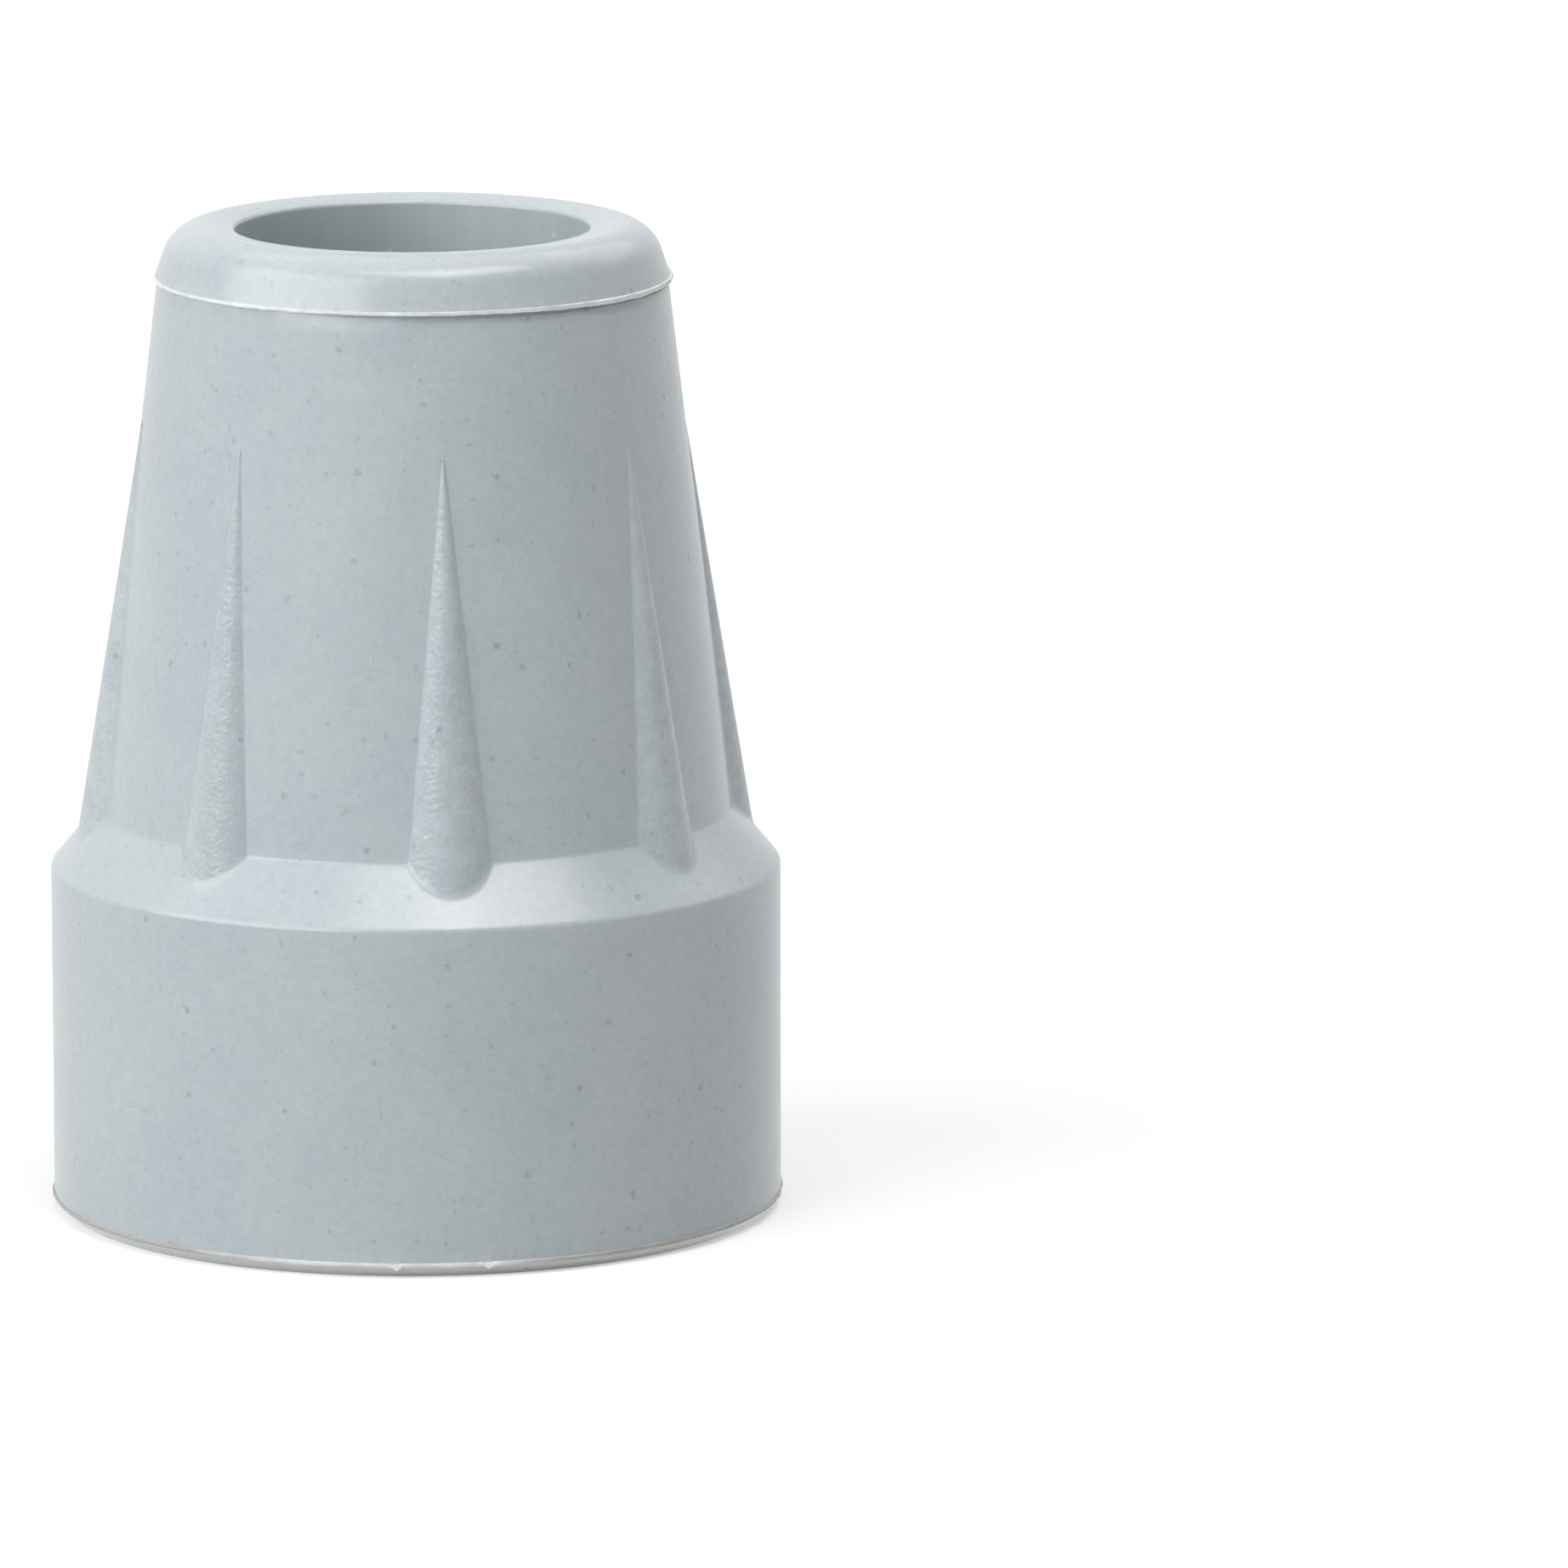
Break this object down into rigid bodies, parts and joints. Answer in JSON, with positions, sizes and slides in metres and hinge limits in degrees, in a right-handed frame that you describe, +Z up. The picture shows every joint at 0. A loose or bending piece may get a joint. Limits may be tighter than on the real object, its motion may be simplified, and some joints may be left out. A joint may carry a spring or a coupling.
{
  "type": "rubber cane tip",
  "caption": "Ribbed rubber tip for the foot of a walking cane, with a tapered neck, a wide ringed tread and a blind bore that pushes on to the shaft.",
  "frame": {"origin": "on the floor, where the tip's own axis meets it", "axes": "+Z up along the bore's axis and out of its mouth; +X midway between two ribs"},
  "size_m": [0.0396, 0.0396, 0.0535],
  "materials": {
    "rubber": "soft satin, pale cool grey"
  },
  "bodies": {
    "root": {"rubber_tip": "rubber"}
  },
  "joints": []
}
